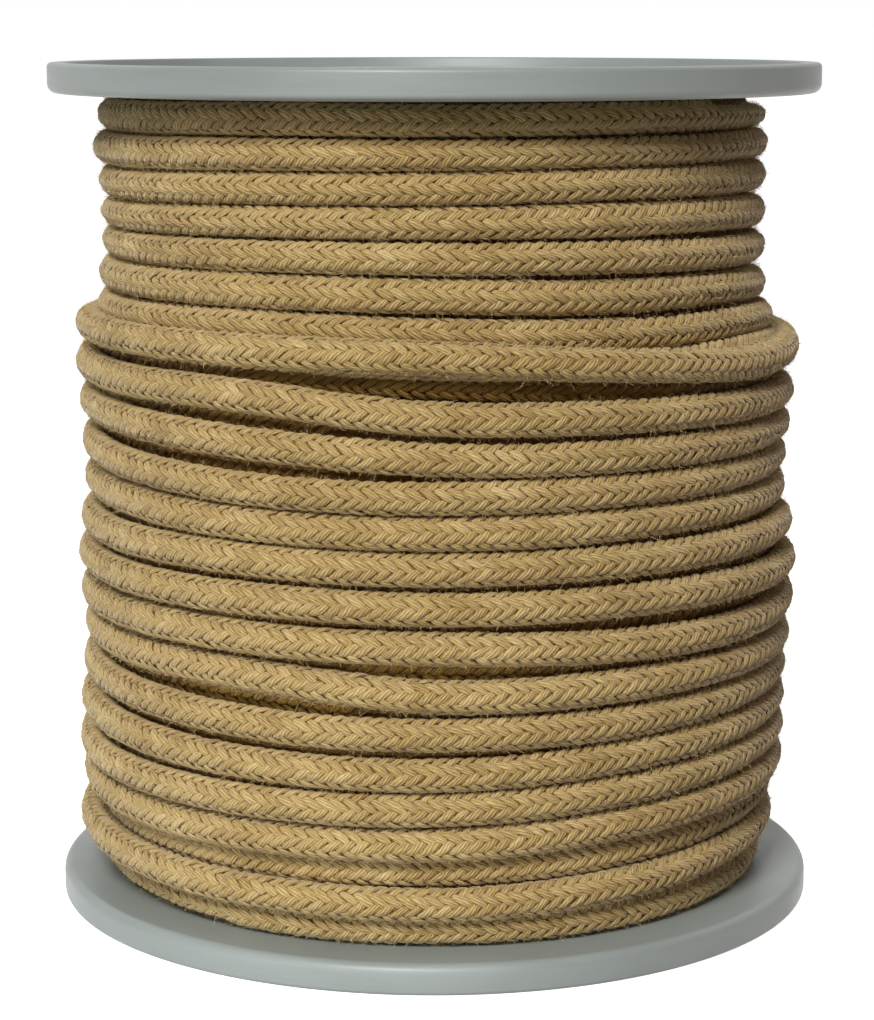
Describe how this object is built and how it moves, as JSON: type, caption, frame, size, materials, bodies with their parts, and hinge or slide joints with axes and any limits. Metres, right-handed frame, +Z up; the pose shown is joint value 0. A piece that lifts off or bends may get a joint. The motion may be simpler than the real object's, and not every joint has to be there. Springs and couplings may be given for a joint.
{
  "type": "braided polypropylene rope wound on a plastic reel",
  "caption": "Braided polypropylene rope wound in a helix on an upright grey plastic reel with two round flanges and a spindle bore.",
  "frame": {"origin": "centre of the base, on the surface that the lower flange stands on", "axes": "+Z up along the reel's axis, -Y towards the side that the picture shows, +X to that view's right"},
  "size_m": [0.14, 0.14, 0.1532],
  "materials": {
    "rope": "matt spun yarn in a fine herringbone braid, khaki, slightly fuzzy",
    "reel": "satin moulded plastic, light grey"
  },
  "bodies": {
    "root": {"rope_winding": "rope", "reel": "reel"}
  },
  "joints": []
}
